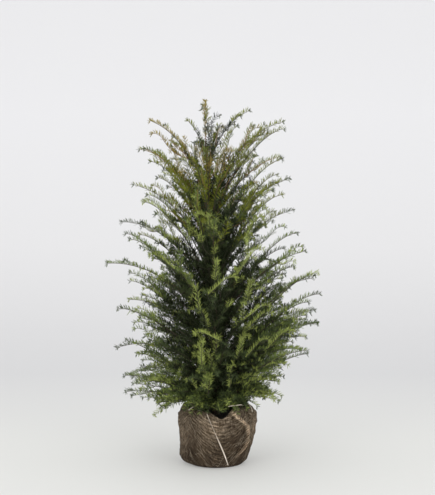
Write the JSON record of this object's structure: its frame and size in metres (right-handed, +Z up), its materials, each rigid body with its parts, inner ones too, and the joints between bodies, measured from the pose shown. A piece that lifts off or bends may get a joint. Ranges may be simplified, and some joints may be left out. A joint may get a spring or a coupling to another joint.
{
  "type": "root-balled yew",
  "caption": "Young evergreen shrub with an upright habit and arching needled shoots, standing on a root ball wrapped in hessian and tied at its corners.",
  "frame": {"origin": "centre of the flat underside of the wrapped root ball, where the plant stands on the ground", "axes": "+Z up along the trunk; -Y is the front, the side that the picture shows; +X to the right of the picture"},
  "size_m": [0.8, 0.7543, 1.35],
  "materials": {
    "bark": "matte",
    "foliage": "satin",
    "hessian": "matte",
    "string": "matte",
    "soil": "matte"
  },
  "bodies": {
    "root": {"soil_ball": "soil", "hessian_wrap": "hessian", "wrap_ear_left": "hessian", "wrap_ear_right": "hessian", "tie_string": "string", "trunk": "bark", "bough_1_right": "bark", "bough_1_left": "bark", "bough_1_back": "bark", "bough_2_right": "bark", "bough_2_left": "bark", "bough_2_front": "bark", "bough_3_right": "bark", "bough_3_left": "bark", "bough_3_back": "bark", "bough_4_right": "bark", "bough_4_left": "bark", "bough_4_front": "bark", "bough_5_right": "bark", "bough_5_left": "bark", "bough_5_back": "bark", "bough_6_right": "bark", "bough_6_left": "bark", "bough_6_front": "bark", "foliage_1_right": "foliage", "foliage_1_left": "foliage", "foliage_1_back": "foliage", "foliage_2_right": "foliage", "foliage_2_left": "foliage", "foliage_2_front": "foliage", "foliage_3_right": "foliage", "foliage_3_left": "foliage", "foliage_3_back": "foliage", "foliage_4_right": "foliage", "foliage_4_left": "foliage", "foliage_4_front": "foliage", "foliage_5_right": "foliage", "foliage_5_left": "foliage", "foliage_5_back": "foliage", "foliage_6_right": "foliage", "foliage_6_left": "foliage", "foliage_6_front": "foliage", "foliage_7_right": "foliage", "foliage_7_left": "foliage", "foliage_7_back": "foliage", "foliage_8_right": "foliage", "foliage_8_left": "foliage", "foliage_8_front": "foliage", "foliage_9_right": "foliage", "foliage_9_left": "foliage", "foliage_9_back": "foliage", "foliage_top_left": "foliage", "foliage_top_right": "foliage", "foliage_leader": "foliage"}
  },
  "joints": []
}
